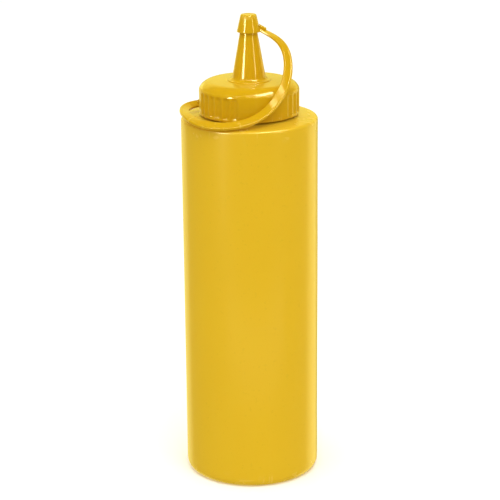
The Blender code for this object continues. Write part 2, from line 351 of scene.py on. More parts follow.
def make_bottle_material():
    material, tree, shader = new_material(
        "satin_yellow_polyethylene", Subsurface_Weight=0.12, Subsurface_Scale=2.0 * MM,
        Subsurface_Radius=(1.0, 0.55, 0.12), IOR=1.5, Specular_IOR_Level=0.5,
        Specular_Tint=(1.0, 0.82, 0.4, 1.0), Sheen_Weight=0.3, Sheen_Roughness=0.4,
        Sheen_Tint=YELLOW_SHEEN,
    )
    color = grouped(tree, PIGMENT, Color=BOTTLE_YELLOW, Clouds=0.035, Cloud_scale=22.0,
                    Specks=0.045, Speck_scale=620.0)
    rubbed = grouped(tree, RUBBING, Low_edge=2.0 * MM, High_edge=190.5 * MM, Reach=7.0 * MM,
                     Everywhere=0.06, Scratch_scale=240.0)
    skin = grouped(tree, MOULD_SKIN, Peel_scale=620.0, Peel_height=0.018 * MM,
                   Wave_scale=45.0, Wave_height=0.05 * MM)
    drawn = add(tree, "ShaderNodeMapping",
                {"Vector": object_place(tree), "Scale": (1.0, 1.0, DIE_LINE_STRETCH)}).outputs[0]
    die_lines = grain(tree, drawn, 190.0, 3.0)
    paler = between(tree, calc(tree, "MULTIPLY", rubbed, 0.12), color, (0.86, 0.66, 0.16, 1.0))
    rough = calc(tree, "MULTIPLY_ADD", die_lines, 0.06, BOTTLE_ROUGHNESS)
    rough = calc(tree, "MULTIPLY_ADD", rubbed, 0.1, rough)
    height = calc(tree, "MULTIPLY_ADD", die_lines, DIE_LINE_HEIGHT, skin)
    dress(tree, shader, paler, rough, height)
    return material


# %% [markdown]
# ## The cap's finish
# The injection mould was polished, so the cap, strap and tip mirror the lamps as sharp stripes. Less
# white light comes off a smooth surface, which is why the same pigment looks deeper here.

# %% Material of the cap, strap and tip
CAP_YELLOW = (0.60, 0.333, 0.003, 1.0)
CAP_ROUGHNESS = 0.14


def make_cap_material():
    material, tree, shader = new_material(
        "glossy_yellow_polyethylene", Subsurface_Weight=0.06, Subsurface_Scale=1.0 * MM,
        Subsurface_Radius=(1.0, 0.5, 0.1), IOR=1.42, Specular_IOR_Level=0.55,
        Specular_Tint=(1.0, 0.85, 0.45, 1.0), Sheen_Weight=0.3, Sheen_Roughness=0.4,
        Sheen_Tint=YELLOW_SHEEN,
    )
    color = grouped(tree, PIGMENT, Color=CAP_YELLOW, Clouds=0.03, Cloud_scale=55.0,
                    Specks=0.05, Speck_scale=700.0)
    rubbed = grouped(tree, RUBBING, Low_edge=194.5 * MM, High_edge=243.5 * MM, Reach=4.0 * MM,
                     Everywhere=0.10, Scratch_scale=420.0)
    skin = grouped(tree, MOULD_SKIN, Peel_scale=900.0, Peel_height=0.004 * MM,
                   Wave_scale=150.0, Wave_height=0.02 * MM)
    paler = between(tree, calc(tree, "MULTIPLY", rubbed, 0.25), color, (0.84, 0.60, 0.08, 1.0))
    dress(tree, shader, paler, calc(tree, "MULTIPLY_ADD", rubbed, 0.25, CAP_ROUGHNESS), skin)
    return material


# %% [markdown]
# ## The sealing ring's finish
# The ring is punched from closed-cell foam sheet. Cells of about half a millimetre pit its skin, so
# a Voronoi distance drives the bump and a painted shade: the colour darkens where the skin sinks.

# %% Material of the sealing ring
CELLS_PER_METRE = 1900.0
# the second colour is painted shade, laid where the skin sinks between cells
CELL_COLOR, CELL_HOLLOW_SHADE = (0.86, 0.84, 0.78, 1.0), (0.70, 0.67, 0.58, 1.0)
CELL_DEPTH = 0.05 * MM
FOAM_ROUGHNESS = 0.72


def make_foam_material():
    material, tree, shader = new_material("seal_foam", Subsurface_Weight=0.1, Subsurface_Scale=1.0 * MM)
    cells = add(tree, "ShaderNodeTexVoronoi",
                {"Vector": object_place(tree), "Scale": CELLS_PER_METRE}).outputs["Distance"]
    # painted shade: the colour darkens where the cells' bump sinks
    cells_with_shade = between(tree, cells, CELL_COLOR, CELL_HOLLOW_SHADE)
    rough = calc(tree, "MULTIPLY_ADD", cells, 0.15, FOAM_ROUGHNESS)
    dress(tree, shader, cells_with_shade, rough, calc(tree, "MULTIPLY", cells, -CELL_DEPTH))
    return material


BOTTLE_PLASTIC = make_bottle_material()
CAP_PLASTIC = make_cap_material()
SEAL_FOAM = make_foam_material()
print("materials:", [m.name for m in (BOTTLE_PLASTIC, CAP_PLASTIC, SEAL_FOAM)])

# %% [markdown]
# ## Turned shapes
# Most of this object is round, because its moulds were turned on a lathe. A profile is a list of
# corners, each with a fillet of its own. Fillets matter more than any texture: a moulded edge is seen
# by the thin line of light along it.

# %% A profile with rounded corners
def rounded(corners, steps=7):
    """Points (radius, height) of a profile, from corners of (radius, height, fillet). A fillet
    under a millimetre gets half the steps."""
    points = []
    for i, (r, z, fillet) in enumerate(corners):
        here = Vector((r, z))
        if fillet == 0:
            points.append(here)
            continue
        before = (Vector(corners[i - 1][:2]) - here).normalized()
        after = (Vector(corners[(i + 1) % len(corners)][:2]) - here).normalized()
        half = before.angle(after) / 2
        centre = here + (before + after).normalized() * fillet / math.sin(half)
        first = here + before * fillet / math.tan(half) - centre
        last = here + after * fillet / math.tan(half) - centre
        start = math.atan2(first.y, first.x)
        sweep = math.remainder(math.atan2(last.y, last.x) - start, 2 * math.pi)
        count = steps if fillet >= 1.0 * MM else steps // 2
        for k in range(count + 1):
            angle = start + sweep * k / count
            points.append(centre + fillet * Vector((math.cos(angle), math.sin(angle))))
    return points


def divided(points, longest):
    """The same outline, with no stretch longer than this."""
    out = [points[0]]
    for point in points[1:]:
        start = out[-1]
        count = max(1, math.ceil((point - start).length / longest - 1e-6))
        out += [start.lerp(point, k / count) for k in range(1, count + 1)]
    return out


# %% A mesh made into an object, and a lathe
def as_object(name, shape, material):
    """A bmesh as an object with its faces smooth and turned outwards."""
    bmesh.ops.recalc_face_normals(shape, faces=shape.faces)
    mesh = bpy.data.meshes.new(name)
    shape.to_mesh(mesh)
    shape.free()
    mesh.shade_smooth()
    mesh.materials.append(material)
    print(f"{name}: {len(mesh.vertices)} points, {len(mesh.polygons)} faces")
    return placed(name, mesh)


def even_angles(count):
    return [2 * math.pi * i / count for i in range(count)]


def lathe(profile, angles, closed=False):
    """A profile turned about Z. A point on the axis is one vertex, so the poles are closed."""
    shape = bmesh.new()
    rings = []
    for r, z in profile:
        if r < 1e-7:
            rings.append([shape.verts.new((0.0, 0.0, z))] * len(angles))
        else:
            rings.append([shape.verts.new((r * math.cos(a), r * math.sin(a), z)) for a in angles])
    pairs = list(zip(rings, rings[1:]))
    if closed:
        pairs.append((rings[-1], rings[0]))
    for ring, following in pairs:
        for i in range(len(angles)):
            j = (i + 1) % len(angles)
            shape.faces.new(list(dict.fromkeys((ring[i], ring[j], following[j], following[i]))))
    return shape


# %% [markdown]
# ## The bottle
# The real wall is blown against a two-part mould. Three things tell it from a turned tube: the wall
# waves by less than a tenth of a millimetre, a hair-thin line runs up each side where the mould halves
# met, and the base has the weld where the halves pinched the tube shut. All three are moved or added
# vertices here, so they are in the mesh itself.

# %% Profile of the bottle, from the middle of the floor inside to the middle of the base outside
def bottle_profile():
    fall = SHOULDER_Z - SHOULDER_FALL
    inner_r = BODY_R - BODY_WALL
    floor_z = PUSH_UP + BODY_WALL
    corners = [(0.0, floor_z, 0), (PUSH_UP_R - 0.5 * MM, floor_z, PUSH_UP_FILLET)]
    corners += [(FOOT_IN_R, BODY_WALL, PUSH_UP_FILLET), (inner_r, BODY_WALL, HEEL_R - BODY_WALL)]
    corners += [(inner_r, fall - BODY_WALL, SHOULDER_EDGE_R - BODY_WALL)]
    corners += [(NECK_BORE_R, SHOULDER_Z - BODY_WALL, NECK_FOOT_FILLET)]
    corners += [(NECK_BORE_R, NECK_RIM_Z, RIM_FILLET), (NECK_R, NECK_RIM_Z, RIM_FILLET)]
    corners += [(NECK_R, SHOULDER_Z + SHOULDER_RISE, NECK_FOOT_FILLET)]
    corners += [(BODY_R, fall, SHOULDER_EDGE_R), (BODY_R, 0.0, HEEL_R), (FOOT_IN_R, 0.0, FOOT_FILLET)]
    corners += [(PUSH_UP_R, PUSH_UP, PUSH_UP_FILLET), (0.0, PUSH_UP, 0)]
    return divided(rounded(corners, steps=9), 3.5 * MM)


# %% Columns of the bottle: close together on the two mould lines
MOULD_LINE_WIDTH = 0.45 * MM
MOULD_LINE_HEIGHT = 0.06 * MM
BOTTLE_COLUMNS = 240
CLEAR_OF_LINE = 0.015  # the sine of the angle that even columns keep off a mould line


def bottle_angles():
    step = MOULD_LINE_WIDTH / BODY_R / 2
    angles = [a for a in even_angles(BOTTLE_COLUMNS) if abs(math.sin(a)) > CLEAR_OF_LINE]
    for line in (0.0, math.pi):
        angles += [line + k * step for k in (-2, -1, 0, 1, 2)]
    return sorted(a % (2 * math.pi) for a in angles)


# %% The wall's slow wave and its mould lines
WAVE_HEIGHT = 0.10 * MM
WAVE_LENGTH = 34.0 * MM
WAVE_STRETCH = 0.45  # waves are about twice as long up the wall as round it
CALM_AT_ENDS = 12.0 * MM
STANDING_Z = 1.2 * MM
NECK_CLEARANCE = 2.0 * MM


def blown(shape):
    """Moves each point in or out a little, as a blown wall does; the neck and the foot stay true."""
    for vert in shape.verts:
        r = math.hypot(vert.co.x, vert.co.y)
        if r < NECK_R + NECK_CLEARANCE or vert.co.z < STANDING_Z:
            continue
        angle = math.atan2(vert.co.y, vert.co.x)
        share = min(1.0, (SHOULDER_Z - vert.co.z) / CALM_AT_ENDS, vert.co.z / CALM_AT_ENDS)
        around = Vector((math.cos(angle), math.sin(angle), 0.0)) * BODY_R
        around.z = vert.co.z * WAVE_STRETCH
        move = WAVE_HEIGHT * max(0.0, share) * noise.noise(around / WAVE_LENGTH)
        off_line = abs(vert.co.y)  # both mould lines run where y is 0
        if r > BODY_R - BODY_WALL / 2:
            move += MOULD_LINE_HEIGHT * max(0.0, 1.0 - (off_line / MOULD_LINE_WIDTH) ** 2)
        vert.co.x *= 1 + move / r
        vert.co.y *= 1 + move / r


# %% The weld across the base
WELD_LENGTH, WELD_WIDTH, WELD_HEIGHT = 38.0 * MM, 1.3 * MM, 0.45 * MM


def add_weld(shape):
    """A long low ridge on the pushed-up base, half sunk in it."""
    size = Matrix.Diagonal((WELD_LENGTH / 2, WELD_WIDTH / 2, WELD_HEIGHT, 1.0))
    made = bmesh.ops.create_uvsphere(
        shape, u_segments=48, v_segments=16, radius=1.0,
        matrix=Matrix.Translation((0.0, 0.0, PUSH_UP)) @ size,
    )
    print("weld ridge:", len(made["verts"]), "points")


bottle_mesh = lathe(bottle_profile(), bottle_angles())
blown(bottle_mesh)
add_weld(bottle_mesh)
bottle_shell = as_object("bottle_shell", bottle_mesh, BOTTLE_PLASTIC)
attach(bottle_shell, "bottle_body")
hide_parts("bottle")

# %% [markdown]
# ## Screw threads with Geometry Nodes
# A thread is a trapezoid swept along a helix, and both threads of this bottle follow the same rule.
# So one tree makes them: a mesh line is wound up by a formula, becomes a curve, and carries the
# trapezoid along. The section shrinks to nothing at both ends, as a real thread runs out.

# %% Geometry helpers
def tree_inputs(obj, tree, values):
    """A nodes modifier with its inputs set by identifier."""
    modifier = obj.modifiers.new(tree.name, "NODES")
    modifier.node_group = tree
    for item in tree.interface.items_tree:
        if item.item_type == "SOCKET" and item.in_out == "INPUT" and item.name in values:
            modifier[item.identifier] = values[item.name]


def settled(obj, tree, values):
    """Runs the tree on an object and keeps the result as its plain mesh."""
    tree_inputs(obj, tree, values)
    graph = bpy.context.evaluated_depsgraph_get()
    mesh = bpy.data.meshes.new_from_object(obj.evaluated_get(graph))
    obj.modifiers.clear()
    obj.data = mesh
    shape = bmesh.new()
    shape.from_mesh(mesh)
    bmesh.ops.recalc_face_normals(shape, faces=shape.faces)
    shape.to_mesh(mesh)
    shape.free()
    mesh.shade_smooth()
    print(f"{obj.name}: {len(mesh.vertices)} points, {len(mesh.polygons)} faces")
    return obj


GEOMETRY, INT, MATERIAL = "NodeSocketGeometry", "NodeSocketInt", "NodeSocketMaterial"


def finish_tree(tree, given, geometry, result):
    """The end that every tree here has: instances made real, then the material."""
    real = add(tree, "GeometryNodeRealizeInstances", {0: geometry})
    painted = add(tree, "GeometryNodeSetMaterial", {0: real.outputs[0], "Material": given["Material"]})
    tree.links.new(painted.outputs[0], result.inputs[0])


# %% The thread tree
def make_thread_tree():
    tree, given, result = new_group(
        "screw_thread",
        "GeometryNodeTree",
        [("Geometry", GEOMETRY, None), ("Wall radius", FLOAT, 0.02), ("Start height", FLOAT, 0.0),
         ("Pitch", FLOAT, 0.004), ("Turns", FLOAT, 1.5), ("Points", INT, 200), ("Rise", FLOAT, 0.001),
         ("Sunk", FLOAT, 0.0004), ("Base width", FLOAT, 0.0015), ("Crest width", FLOAT, 0.0008),
         ("Run-out turns", FLOAT, 0.11), ("Outward", FLOAT, 1.0), ("Material", MATERIAL, None)],
        [("Geometry", GEOMETRY)],
    )
    line = add(tree, "GeometryNodeMeshLine", {"Count": given["Points"]}).outputs[0]
    last = calc(tree, "SUBTRACT", given["Points"], 1.0)
    share = calc(tree, "DIVIDE", add(tree, "GeometryNodeInputIndex").outputs[0], last)
    turn = calc(tree, "MULTIPLY", share, given["Turns"])
    angle = calc(tree, "MULTIPLY", turn, 2 * math.pi)
    spot = add(tree, "ShaderNodeCombineXYZ", {
        "X": calc(tree, "MULTIPLY", calc(tree, "COSINE", angle), given["Wall radius"]),
        "Y": calc(tree, "MULTIPLY", calc(tree, "SINE", angle), given["Wall radius"]),
        "Z": calc(tree, "MULTIPLY_ADD", turn, given["Pitch"], given["Start height"]),
    }).outputs[0]
    wound = add(tree, "GeometryNodeSetPosition", {"Geometry": line, "Position": spot}).outputs[0]
    curve = add(tree, "GeometryNodeMeshToCurve", {0: wound}).outputs[0]
    upright = add(tree, "GeometryNodeSetCurveNormal", {0: curve}, mode="Z_UP").outputs[0]
    to_end = calc(tree, "MINIMUM", turn, calc(tree, "SUBTRACT", given["Turns"], turn))
    ramp = calc(tree, "MINIMUM", calc(tree, "DIVIDE", to_end, given["Run-out turns"]), 1.0)
    size = calc(tree, "MAXIMUM", calc(tree, "SINE", calc(tree, "MULTIPLY", ramp, math.pi / 2)), 0.02)
    tall = calc(tree, "ADD", given["Rise"], given["Sunk"])
    section = add(tree, "GeometryNodeCurvePrimitiveQuadrilateral", {
        "Height": tall, "Bottom Width": given["Base width"], "Top Width": given["Crest width"], "Offset": 0.0,
    }, mode="TRAPEZOID").outputs[0]
    soft = add(tree, "GeometryNodeFilletCurve", {"Curve": section, "Count": 3, "Radius": 0.2 * MM},
               mode="POLY").outputs[0]
    middle = calc(tree, "MULTIPLY", calc(tree, "SUBTRACT", given["Rise"], given["Sunk"]), 0.5)
    stood = add(tree, "GeometryNodeTransform", {
        "Geometry": soft, "Rotation": (0.0, 0.0, -math.pi / 2),
        "Translation": add(tree, "ShaderNodeCombineXYZ", {"X": middle}).outputs[0],
    }).outputs[0]
    side = add(tree, "ShaderNodeCombineXYZ", {"X": given["Outward"], "Y": 1.0, "Z": 1.0}).outputs[0]
    facing = add(tree, "GeometryNodeTransform", {"Geometry": stood, "Scale": side}).outputs[0]
    swept = add(tree, "GeometryNodeCurveToMesh", {
        "Curve": upright, "Profile Curve": facing, "Scale": size, "Fill Caps": True,
    }).outputs[0]
    finish_tree(tree, given, swept, result)
    return tree


THREAD_TREE = make_thread_tree()

# %% The two threads
PITCH = 25.4 / 6 * MM  # six threads to the inch
THREAD_START_Z = 197.3 * MM
OUTWARD, INWARD = 1.0, -1.0


def make_thread(name, wall_r, start_z, outward, material, body):
    """One thread on a wall, riding the wall's body; outward says which side it stands on."""
    thread = settled(placed(name, bpy.data.meshes.new(name)), THREAD_TREE, {
        "Wall radius": wall_r, "Start height": start_z, "Pitch": PITCH, "Turns": 1.5, "Points": 220,
        "Rise": 1.2 * MM, "Sunk": 0.4 * MM, "Base width": 1.5 * MM, "Crest width": 0.8 * MM,
        "Outward": outward, "Material": material,
    })
    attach(thread, body)
    return thread


neck_thread = make_thread(
    "neck_thread", NECK_R, THREAD_START_Z, OUTWARD, BOTTLE_PLASTIC, "bottle_body"
)
cap_thread = make_thread(
    "cap_thread", CAP_BORE_R, THREAD_START_Z - PITCH / 2, INWARD, CAP_PLASTIC, "cap_body"
)

# %% [markdown]
# ## The screw cap and its nozzle
# Cap and nozzle are one moulding, so they are one turned shell, closed round the orifice. The
# finger grooves repeat by a rule: three groups of six, each groove an upright bullet that bites a
# little into the skirt. Boolean cuts would leave ragged shading, so a Geometry Nodes tree moves the
# skirt's own fine mesh inwards by the bullet's formula instead.

# %% Profile of the cap, down the outside from the orifice and back up the inside
def cap_profile():
    step_z = CAP_TOP_Z + FOOT_STEP
    lip_z = NOZZLE_TIP_Z - LIP_THICK
    slope = (NOZZLE_BASE_R - NOZZLE_TIP_R) / (NOZZLE_TIP_Z - NOZZLE_BASE_Z)
    foot_r = NOZZLE_BASE_R + slope * (NOZZLE_BASE_Z - step_z)
    roof_z = CAP_TOP_Z - CAP_ROOF
    corners = [(ORIFICE_R, NOZZLE_TIP_Z, 0.3 * MM), (NOZZLE_TIP_R, NOZZLE_TIP_Z, 0.4 * MM)]
    corners += [(foot_r, step_z, NOZZLE_FOOT_FILLET), (FOOT_R, step_z, 0.25 * MM)]
    corners += [(FOOT_R + 0.15 * MM, CAP_TOP_Z, 0.3 * MM)]
    low_turn = math.pi / 2 - CAP_EDGE_TURN
    slant = CAP_EDGE_R * math.tan(CAP_EDGE_TURN / 2) + CAP_EDGE_LOW_R * math.tan(low_turn / 2)
    corners += [(CAP_R - slant * math.cos(CAP_EDGE_TURN), CAP_TOP_Z, CAP_EDGE_R)]
    corners += [(CAP_R, CAP_TOP_Z - slant * math.sin(CAP_EDGE_TURN), CAP_EDGE_LOW_R)]
    corners += [(CAP_R, CAP_BOTTOM_Z, 0.4 * MM), (CAP_BORE_R, CAP_BOTTOM_Z, 0.3 * MM)]
    corners += [(CAP_BORE_R, LAND_Z - 3.0 * MM, 1.5 * MM), (LAND_OUT_R, LAND_Z, 0.2 * MM)]
    corners += [(LAND_IN_R, LAND_Z, 0.2 * MM), (LAND_IN_R - 0.6 * MM, roof_z, 0.4 * MM)]
    corners += [(nozzle_r(roof_z) - NOZZLE_WALL, roof_z, 0.6 * MM)]
    corners += [(nozzle_r(lip_z) - NOZZLE_WALL, lip_z, 0.2 * MM), (ORIFICE_R, lip_z + 0.1 * MM, 0.1 * MM)]
    return corners


SKIRT_BAND = 1.5 * MM


def fine_skirt(points, longest):
    """Divides the outside of the skirt finely, and leaves the rest of the profile alone."""
    out = []
    for point, following in zip(points, points[1:] + points[:1]):
        out.append(point)
        if min(point.x, following.x) > CAP_R - SKIRT_BAND:
            out += divided([point, following], longest)[1:-1]
    return out


# %% The tree that presses the finger grooves
NOT_ZERO = 1.0 * MM


def make_groove_tree():
    tree, given, result = new_group(
        "finger_grooves",
        "GeometryNodeTree",
        [("Geometry", GEOMETRY, None), ("Groups", INT, 3), ("First group", FLOAT, 0.0),
         ("Grooves in a group", INT, 6), ("Groove angle", FLOAT, 0.17), ("Skirt radius", FLOAT, 0.02),
         ("Groove radius", FLOAT, 0.002), ("Depth", FLOAT, 0.0005), ("Bottom", FLOAT, 0.0),
         ("Top", FLOAT, 0.01), ("Soft edge", FLOAT, 0.0002), ("Inner limit", FLOAT, 0.0),
         ("Material", MATERIAL, None)],
        [("Geometry", GEOMETRY)],
    )
    place = add(tree, "GeometryNodeInputPosition").outputs[0]
    x, y, z = add(tree, "ShaderNodeSeparateXYZ", {0: place}).outputs
    radius = calc(tree, "SQRT", calc(tree, "MULTIPLY_ADD", x, x, calc(tree, "MULTIPLY", y, y)))
    angle = calc(tree, "ARCTAN2", y, x)
    span = calc(tree, "DIVIDE", 2 * math.pi, given["Groups"])
    half_span = calc(tree, "MULTIPLY", span, 0.5)
    from_first = calc(tree, "ADD", calc(tree, "SUBTRACT", angle, given["First group"]), half_span)
    in_group = calc(tree, "SUBTRACT", calc(tree, "WRAP", from_first, span, 0.0), half_span)
    whole_group = calc(tree, "MULTIPLY", given["Grooves in a group"], given["Groove angle"])
    half_group = calc(tree, "MULTIPLY", whole_group, 0.5)
    plain = calc(tree, "GREATER_THAN", calc(tree, "ABSOLUTE", in_group), half_group)
    half_groove = calc(tree, "MULTIPLY", given["Groove angle"], 0.5)
    in_groove = calc(tree, "WRAP", calc(tree, "ADD", in_group, half_group), given["Groove angle"], 0.0)
    across = calc(tree, "MULTIPLY", calc(tree, "SUBTRACT", in_groove, half_groove), given["Skirt radius"])
    below = calc(tree, "LESS_THAN", z, given["Bottom"])
    over_top = calc(tree, "SUBTRACT", z, calc(tree, "SUBTRACT", given["Top"], given["Groove radius"]))
    past_end = calc(tree, "MAXIMUM", over_top, 0.0)
    away = calc(tree, "MULTIPLY_ADD", across, across, calc(tree, "MULTIPLY", past_end, past_end))
    square = calc(tree, "MULTIPLY", given["Groove radius"], given["Groove radius"])
    bulge = calc(tree, "SQRT", calc(tree, "MAXIMUM", calc(tree, "SUBTRACT", square, away), 0.0))
    bottom_r = calc(tree, "SUBTRACT", given["Skirt radius"], given["Depth"])
    axis_r = calc(tree, "ADD", bottom_r, given["Groove radius"])
    pressed = calc(tree, "ADD", calc(tree, "SUBTRACT", axis_r, bulge), calc(tree, "MAXIMUM", plain, below))
    new_r = calc(tree, "SMOOTH_MIN", radius, pressed, given["Soft edge"])
    ratio = calc(tree, "DIVIDE", new_r, calc(tree, "MAXIMUM", radius, NOT_ZERO))
    moved = add(tree, "ShaderNodeCombineXYZ", {
        "X": calc(tree, "MULTIPLY", x, ratio), "Y": calc(tree, "MULTIPLY", y, ratio), "Z": z,
    }).outputs[0]
    skirt = calc(tree, "GREATER_THAN", radius, given["Inner limit"])
    shaped = add(tree, "GeometryNodeSetPosition",
                 {"Geometry": given["Geometry"], "Selection": skirt, "Position": moved}).outputs[0]
    finish_tree(tree, given, shaped, result)
    return tree


# %% Press the grooves
GROOVE_VALUES = {
    "Groups": 3, "First group": math.radians(-12.0), "Grooves in a group": 6,
    "Groove angle": math.radians(10.0), "Skirt radius": CAP_R, "Groove radius": 2.6 * MM,
    "Depth": 0.75 * MM, "Bottom": 195.1 * MM, "Top": 206.9 * MM, "Soft edge": 0.25 * MM,
    "Inner limit": CAP_BORE_R + 0.35 * MM, "Material": CAP_PLASTIC,
}
CAP_COLUMNS = 540
SKIRT_ROW_HEIGHT = 0.4 * MM
cap_outline = fine_skirt(rounded(cap_profile(), steps=10), SKIRT_ROW_HEIGHT)
cap_mesh = lathe(cap_outline, even_angles(CAP_COLUMNS), closed=True)
cap_shell = as_object("cap_shell", cap_mesh, CAP_PLASTIC)
settled(cap_shell, make_groove_tree(), GROOVE_VALUES)

# %% [markdown]
# ## The lugs at the strap's ends
# Where the strap leaves the skirt and where it meets the tip, a small gusset on top keeps the thin
# plastic from tearing. Each is a wedge with soft edges, sunk into the wall that it stands on.

# %% A gusset
GUSSET_SUNK = 0.4 * MM
GUSSET_END_SHARE = 0.2
GUSSET_EDGE = 0.22 * MM


def add_gusset(obj, root, out, reach, height, width):
    """Joins a wedge to an object: it stands on a wall at root, reaches out and slopes to nothing."""
    out = Vector(out).normalized()
    up = Vector((0.0, 0.0, 1.0))
    along = up.cross(out)
    outline = [(0, -GUSSET_SUNK), (reach, -GUSSET_SUNK), (reach, GUSSET_END_SHARE * height), (0, height)]
    shape = bmesh.new()
    sides = []
    for side in (-0.5, 0.5):
        at = Vector(root) + along * side * width
        sides.append([shape.verts.new(at + out * x + up * z) for x, z in outline])
    for i in range(4):
        j = (i + 1) % 4
        shape.faces.new((sides[0][i], sides[0][j], sides[1][j], sides[1][i]))
    shape.faces.new(sides[0])
    shape.faces.new(sides[1])
    bmesh.ops.bevel(
        shape, geom=shape.edges[:], offset=GUSSET_EDGE, segments=4, profile=0.5, affect="EDGES"
    )
    bmesh.ops.recalc_face_normals(shape, faces=shape.faces)
    wedge = bpy.data.meshes.new("gusset")
    shape.to_mesh(wedge)
    shape.free()
    whole = bmesh.new()
    whole.from_mesh(obj.data)
    whole.from_mesh(wedge)
    whole.to_mesh(obj.data)
    whole.free()
    bpy.data.meshes.remove(wedge)
    obj.data.shade_smooth()


# %% [markdown]
# ## The tether strap
# A flat ribbon with a bead along its outer edge, moulded in one with the cap and the tip. It follows
# a path, so it is a curve that carries a rounded rectangle, and beside it one that carries a circle.
# Its twist matters as much as its route: flat beside the cap, leaning forward in front, on edge at
# the right and flat again at the tip. Each station gives the middle of the ribbon in millimetres and
# the direction from its inner to its outer edge.

# %% Stations of the strap
STRAP_WIDTH, STRAP_THICK = 4.7 * MM, 1.4 * MM
STRAP_STATIONS = [
    ((-25.9, 8.7, 196.6), (-0.28, 0.88, 0.38)),
    ((-29.4, 6.4, 196.3), (-0.60, 0.68, 0.42)),
    ((-32.3, 1.2, 196.1), (-0.87, 0.35, 0.34)),
    ((-33.1, -6.2, 196.0), (-0.98, 0.00, 0.18)),
    ((-31.6, -14.6, 195.7), (-0.94, -0.34, -0.06)),
    ((-27.2, -23.6, 194.6), (-0.76, -0.60, -0.24)),
    ((-18.6, -30.4, 193.9), (-0.36, -0.78, -0.50)),
    ((-5.8, -32.1, 194.6), (0.15, -0.87, -0.48)),
    ((7.7, -27.8, 199.4), (0.56, -0.62, -0.55)),
    ((16.6, -22.6, 209.6), (0.88, -0.10, -0.46)),
    ((19.6, -14.2, 221.0), (0.86, 0.36, -0.36)),
    ((16.2, -5.6, 230.4), (0.68, 0.73, -0.05)),
    ((6.9, 0.0, 235.8), (0.10, 0.99, 0.00)),
]


# %% A smooth path through the stations
def smooth_rows(rows, count):
    """A natural cubic spline through the rows, spaced by the chords between their places."""
    rows = np.array(rows, float)
    knots = np.concatenate([[0.0], np.cumsum(np.linalg.norm(np.diff(rows[:, :3], axis=0), axis=1))])
    steps = np.diff(knots)
    slopes = np.diff(rows, axis=0) / steps[:, None]
    last = len(rows) - 1
    system = np.eye(last + 1)
    right = np.zeros_like(rows)
    for i in range(1, last):
        system[i, i - 1 : i + 2] = steps[i - 1], 2 * (steps[i - 1] + steps[i]), steps[i]
        right[i] = 6 * (slopes[i] - slopes[i - 1])
    bends = np.linalg.solve(system, right)
    out = []
    for t in np.linspace(0.0, knots[-1], count):
        i = min(int(np.searchsorted(knots, t, side="right")) - 1, last - 1)
        h, a, b = steps[i], (knots[i + 1] - t), (t - knots[i])
        out.append(
            (bends[i] * a**3 + bends[i + 1] * b**3) / (6 * h)
            + (rows[i] / h - bends[i] * h / 6) * a
            + (rows[i + 1] / h - bends[i + 1] * h / 6) * b
        )
    return np.array(out)


# %% The path as a chain of points, each with its direction across
SUNK_IN_CAP, SUNK_IN_TIP = 2.0 * MM, 1.5 * MM
STRAP_POINTS = 220


def strap_path(name):
    rows = smooth_rows([(*centre, *across) for centre, across in STRAP_STATIONS], STRAP_POINTS)
    centres = rows[:, :3] * MM
    along = np.gradient(centres, axis=0)
    along /= np.linalg.norm(along, axis=1)[:, None]
    cap_end, tip_end = centres[0] - along[0] * SUNK_IN_CAP, centres[-1] + along[-1] * SUNK_IN_TIP
    centres = np.vstack([cap_end, centres, tip_end])
    along = np.vstack([along[0], along, along[-1]])
    across = np.vstack([rows[0, 3:], rows[:, 3:], rows[-1, 3:]])
    across -= along * np.sum(across * along, axis=1)[:, None]
    across /= np.linalg.norm(across, axis=1)[:, None]
    mesh = bpy.data.meshes.new(name)
    mesh.from_pydata(centres.tolist(), [(i, i + 1) for i in range(len(centres) - 1)], [])
    turned = mesh.attributes.new("across", "FLOAT_VECTOR", "POINT")
    turned.data.foreach_set("vector", across.astype(np.float32).ravel())
    print(f"{name}: {np.linalg.norm(np.diff(centres, axis=0), axis=1).sum() * 1000:.0f} mm long")
    return placed(name, mesh)


# %% The ribbon tree
def make_ribbon_tree():
    tree, given, result = new_group(
        "ribbon",
        "GeometryNodeTree",
        [("Geometry", GEOMETRY, None), ("Width", FLOAT, 0.005), ("Thickness", FLOAT, 0.001),
         ("Edge radius", FLOAT, 0.0003), ("Edge steps", INT, 4), ("Bead radius", FLOAT, 0.0008),
         ("Material", MATERIAL, None)],
        [("Geometry", GEOMETRY)],
    )
    curve = add(tree, "GeometryNodeMeshToCurve", {0: given["Geometry"]}).outputs[0]
    across = add(tree, "GeometryNodeInputNamedAttribute", {"Name": "across"},
                 data_type="FLOAT_VECTOR").outputs[0]
    twisted = add(tree, "GeometryNodeSetCurveNormal", {"Curve": curve, "Normal": across},
                  mode="FREE").outputs[0]
    section = add(tree, "GeometryNodeCurvePrimitiveQuadrilateral",
                  {"Width": given["Width"], "Height": given["Thickness"]}, mode="RECTANGLE").outputs[0]
    soft = add(tree, "GeometryNodeFilletCurve", {
        "Curve": section, "Count": given["Edge steps"], "Radius": given["Edge radius"],
    }, mode="POLY").outputs[0]
    swept = add(tree, "GeometryNodeCurveToMesh",
                {"Curve": twisted, "Profile Curve": soft, "Fill Caps": True}).outputs[0]
    to_edge = calc(tree, "SUBTRACT", calc(tree, "MULTIPLY", given["Width"], 0.5), given["Bead radius"])
    aside = add(tree, "ShaderNodeVectorMath", {0: across, "Scale": to_edge}, operation="SCALE").outputs[0]
    rim = add(tree, "GeometryNodeSetPosition", {"Geometry": twisted, "Offset": aside}).outputs[0]
    ring = add(tree, "GeometryNodeCurvePrimitiveCircle",
               {"Resolution": 16, "Radius": given["Bead radius"]}, mode="RADIUS").outputs[0]
    bead = add(tree, "GeometryNodeCurveToMesh",
               {"Curve": rim, "Profile Curve": ring, "Fill Caps": True}).outputs[0]
    both = add(tree, "GeometryNodeJoinGeometry")
    tree.links.new(swept, both.inputs[0])
    tree.links.new(bead, both.inputs[0])
    finish_tree(tree, given, both.outputs[0], result)
    return tree


